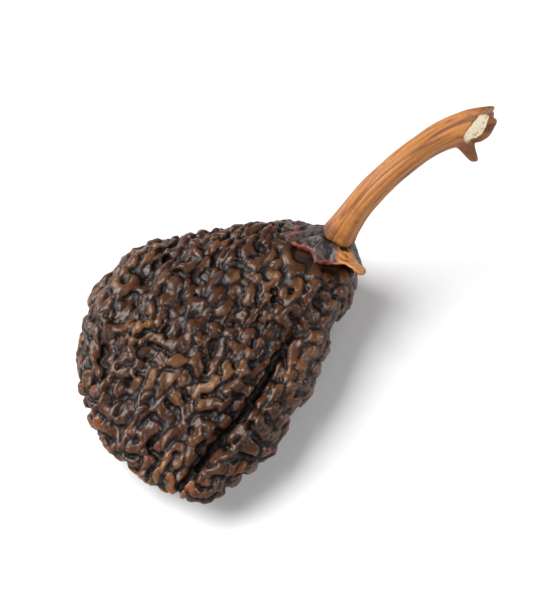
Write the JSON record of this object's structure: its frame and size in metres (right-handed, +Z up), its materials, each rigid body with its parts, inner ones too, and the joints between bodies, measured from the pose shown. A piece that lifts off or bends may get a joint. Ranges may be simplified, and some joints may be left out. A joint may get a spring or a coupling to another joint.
{
  "type": "dried chile pepper",
  "caption": "Broad, flattened dried chile with a deeply wrinkled dark skin, a long crease, a lobed calyx and a curved ribbed stem cut at a slant",
  "frame": {"origin": "on the flat spot under the pod, where it rests on a surface", "axes": "+X from the pod's blunt tip towards the stem, +Y to the left-hand side, +Z up out of the resting face"},
  "size_m": [0.1063, 0.0561, 0.0404],
  "materials": {
    "pod_skin": "glossy wrinkled skin, near-black brown with red-brown edges",
    "calyx_skin": "dull dark purplish-brown, dry",
    "stem_bark": "dry tan bark with fine lengthwise ridges, pale at the cut"
  },
  "bodies": {
    "root": {"pod": "pod_skin", "calyx": "calyx_skin", "stem": "stem_bark"}
  },
  "joints": []
}
